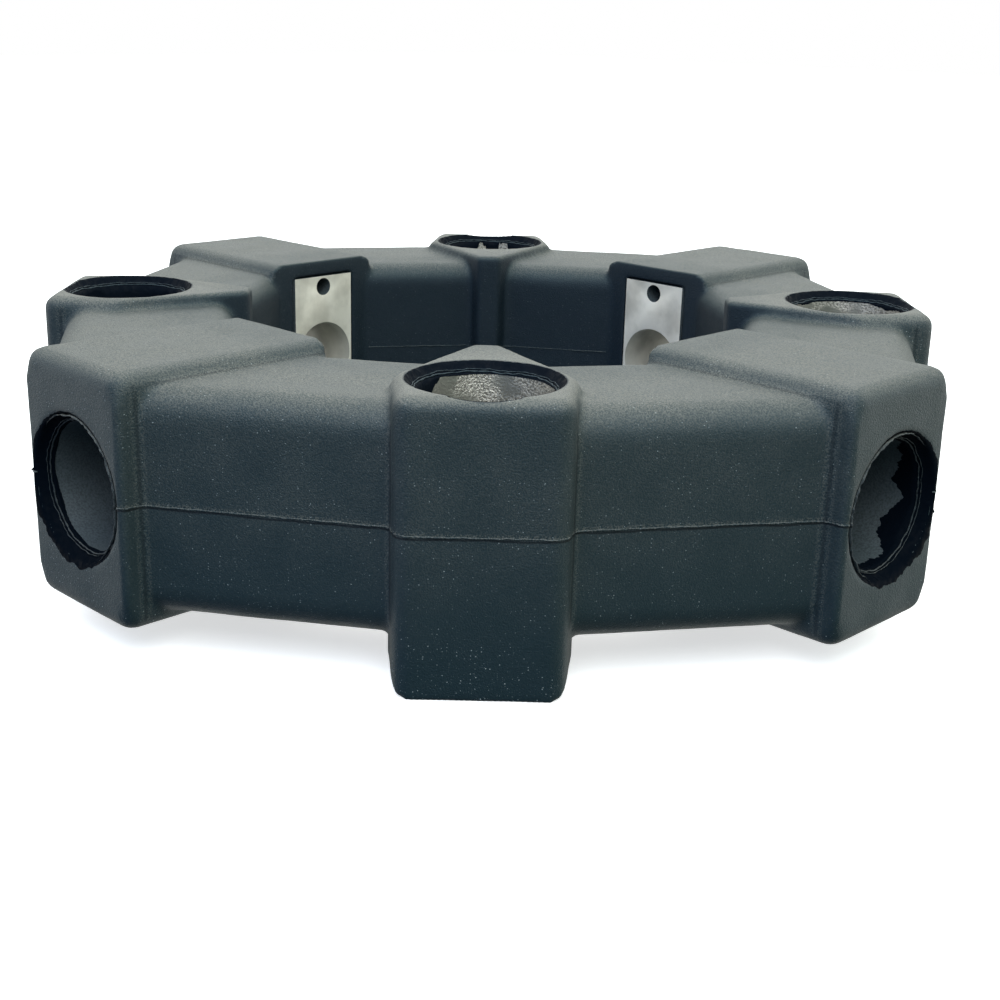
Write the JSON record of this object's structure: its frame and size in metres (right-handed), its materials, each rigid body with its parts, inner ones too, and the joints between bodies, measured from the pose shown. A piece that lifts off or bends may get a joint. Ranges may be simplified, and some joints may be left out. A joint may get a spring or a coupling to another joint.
{
  "type": "flexible engine coupling",
  "caption": "Moulded rubber ring with lobes and bonded metal inserts, which joins an engine's flange to a pump or gearbox hub and takes up shock and misalignment.",
  "frame": {"origin": "on the coupling's axis, in the plane of the axial lobes' undersides", "axes": "+Z along the coupling's axis, away from the flange; +X and +Y through the lobes whose bolts point at the axis; the lobes with axial bolts lie at 45 degrees between them"},
  "size_m": [0.2152, 0.2152, 0.0554],
  "materials": {
    "moulded_rubber": "matte moulded black rubber with a fine grain",
    "cast_aluminium": "cast, machined on the bare seating faces"
  },
  "bodies": {
    "root": {"rubber_body": "moulded_rubber", "radial_insert_1": "cast_aluminium", "radial_insert_2": "cast_aluminium", "radial_insert_3": "cast_aluminium", "radial_insert_4": "cast_aluminium", "axial_insert_1": "cast_aluminium", "axial_insert_2": "cast_aluminium", "axial_insert_3": "cast_aluminium", "axial_insert_4": "cast_aluminium"}
  },
  "joints": []
}
